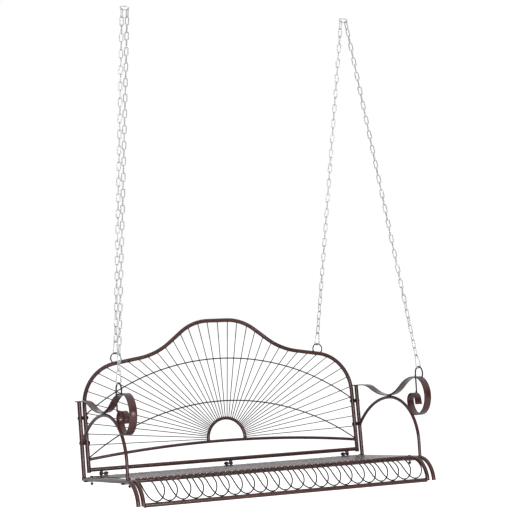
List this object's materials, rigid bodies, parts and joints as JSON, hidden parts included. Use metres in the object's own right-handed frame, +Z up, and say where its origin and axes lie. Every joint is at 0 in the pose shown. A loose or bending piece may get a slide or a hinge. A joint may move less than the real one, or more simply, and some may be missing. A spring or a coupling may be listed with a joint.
{
  "type": "garden swing bench",
  "caption": "Steel porch swing bench: arched backrest with a wire sunburst, slatted seat, scroll arms, and chains with snap hooks that hang it from overhead hooks.",
  "frame": {"origin": "midway between the two hanging links, on the level line through the lower wires of both, about which the bench swings", "axes": "+Z up, the bench's front faces -Y, +X to the right of someone who looks at its front; the hinge line of the swing runs along X"},
  "size_m": [1.3005, 0.6475, 1.8637],
  "materials": {
    "frame_paint": "dark bronze powder coat, semi-gloss",
    "wire_paint": "dark brown powder coat, semi-gloss",
    "bolt_black": "black zinc plating, satin",
    "zinc": "bright zinc plating"
  },
  "bodies": {
    "hangers": {"hanger_link_left": "zinc", "hanger_link_right": "zinc"},
    "bench": {"backrest_frame": "frame_paint", "backrest_bottom_rail": "frame_paint", "arched_rail": "frame_paint", "sun_half_ring": "frame_paint", "sunburst_wires": "wire_paint", "chain_ring_left": "wire_paint", "chain_ring_right": "wire_paint", "clip_upper_tab_left": "frame_paint", "clip_upper_tab_middle": "frame_paint", "clip_upper_tab_right": "frame_paint", "clip_lower_tab_left": "frame_paint", "clip_lower_tab_middle": "frame_paint", "clip_lower_tab_right": "frame_paint", "clip_bolt_left": "bolt_black", "clip_bolt_middle": "bolt_black", "clip_bolt_right": "bolt_black", "arm_post_left": "frame_paint", "arm_post_right": "frame_paint", "arm_arch_left": "frame_paint", "arm_arch_right": "frame_paint", "arm_bottom_bar_left": "frame_paint", "arm_bottom_bar_right": "frame_paint", "arm_scroll_left": "frame_paint", "arm_scroll_right": "frame_paint", "eye_rod_left": "wire_paint", "eye_rod_right": "wire_paint", "arm_tab_rear_left": "frame_paint", "arm_tab_rear_right": "frame_paint", "arm_tab_front_left": "frame_paint", "arm_tab_front_right": "frame_paint", "back_bolt_upper_left": "bolt_black", "back_bolt_upper_right": "bolt_black", "back_bolt_lower_left": "bolt_black", "back_bolt_lower_right": "bolt_black", "seat_bolt_rear_left": "bolt_black", "seat_bolt_rear_right": "bolt_black", "seat_bolt_front_left": "bolt_black", "seat_bolt_front_right": "bolt_black", "seat_side_bar_left": "frame_paint", "seat_side_bar_right": "frame_paint", "seat_rear_rail": "frame_paint", "seat_front_rail": "frame_paint", "apron_rail": "frame_paint", "seat_slats": "frame_paint", "apron_loops": "wire_paint", "chain_rear_left": "zinc", "chain_rear_right": "zinc", "chain_front_left": "zinc", "chain_front_right": "zinc", "snap_hook_rear_left": "zinc", "snap_hook_rear_right": "zinc", "snap_hook_front_left": "zinc", "snap_hook_front_right": "zinc"},
    "gate_rear_left": {"snap_gate_rear_left": "zinc"},
    "gate_rear_right": {"snap_gate_rear_right": "zinc"},
    "gate_front_left": {"snap_gate_front_left": "zinc"},
    "gate_front_right": {"snap_gate_front_right": "zinc"}
  },
  "joints": [
    {"name": "swing", "type": "hinge", "parent": "hangers", "child": "bench", "pos_m": [0, 0, 0], "axis": [1, 0, 0], "range_deg": [-30, 30]},
    {"name": "gate_rear_left_hinge", "type": "hinge", "parent": "bench", "child": "gate_rear_left", "pos_m": [-0.45784, 0.25355, -1.27954], "axis": [-0.7983, -0.5866, -0.1363], "range_deg": [0, 22], "stiffness_Nm_per_rad": 0.06, "springref_deg": -11.46},
    {"name": "gate_rear_right_hinge", "type": "hinge", "parent": "bench", "child": "gate_rear_right", "pos_m": [0.44956, 0.25351, -1.27938], "axis": [-0.7986, -0.5925, -0.1059], "range_deg": [0, 22], "stiffness_Nm_per_rad": 0.06, "springref_deg": -11.46},
    {"name": "gate_front_left_hinge", "type": "hinge", "parent": "bench", "child": "gate_front_left", "pos_m": [-0.64036, -0.23699, -1.36911], "axis": [0, -0.9853, 0.1706], "range_deg": [0, 22], "stiffness_Nm_per_rad": 0.06, "springref_deg": -11.46},
    {"name": "gate_front_right_hinge", "type": "hinge", "parent": "bench", "child": "gate_front_right", "pos_m": [0.62822, -0.23722, -1.37045], "axis": [0, -0.9853, 0.1706], "range_deg": [0, 22], "stiffness_Nm_per_rad": 0.06, "springref_deg": -11.46}
  ]
}
